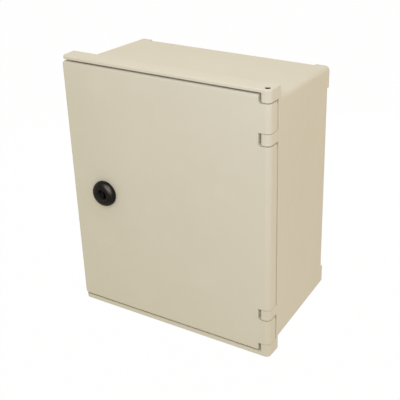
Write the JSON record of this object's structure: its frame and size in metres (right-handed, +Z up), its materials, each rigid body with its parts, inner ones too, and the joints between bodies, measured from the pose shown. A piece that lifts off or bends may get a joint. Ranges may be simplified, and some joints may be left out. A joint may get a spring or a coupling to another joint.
{
  "type": "electrical enclosure",
  "caption": "Wall-mounted moulded electrical enclosure: drafted tub with a lipped rim, side-hinged sealed door on recessed pins, round quarter-turn lock and an inner mounting plate.",
  "frame": {"origin": "centre of the four wall fixings, on the plane of the wall (the rear faces of the feet)", "axes": "+Z up, the door faces -Y, +X is the hinge side (the right, seen from the front)"},
  "size_m": [0.25, 0.1491, 0.3026],
  "materials": {
    "polyester": "press-moulded glass-reinforced polyester, cream, satin",
    "sealing_foam": "foamed polyurethane, dark grey, soft skin",
    "seal_rubber": "smooth black rubber",
    "lock_plastic": "black glass-filled polyamide, satin",
    "galvanised_steel": "galvanised sheet with a faint spangle",
    "plated_steel": "zinc plated and passivated",
    "brass": "turned"
  },
  "bodies": {
    "enclosure": {"enclosure_body": "polyester", "wall_inserts": "brass", "plate_inserts": "brass", "mounting_plate": "galvanised_steel", "plate_washers": "plated_steel", "plate_screws": "plated_steel", "hinge_pin_upper": "lock_plastic", "hinge_pin_lower": "lock_plastic"},
    "door": {"door": "polyester", "door_gasket": "sealing_foam", "lock_seal": "seal_rubber", "lock_housing": "lock_plastic", "lock_nut": "plated_steel"},
    "lock": {"lock_rotor": "lock_plastic", "rotor_seal": "seal_rubber", "lock_cam": "plated_steel", "cam_washer": "plated_steel", "cam_screw": "plated_steel"}
  },
  "joints": [
    {"name": "door_hinge", "type": "hinge", "parent": "enclosure", "child": "door", "pos_m": [0.11925, -0.13475, 0], "axis": [0, 0, 1], "range_deg": [0, 180]},
    {"name": "lock_turn", "type": "hinge", "parent": "door", "child": "lock", "pos_m": [-0.0805, -0.13, -0.0016], "axis": [0, 1, 0], "range_deg": [0, 90]}
  ]
}
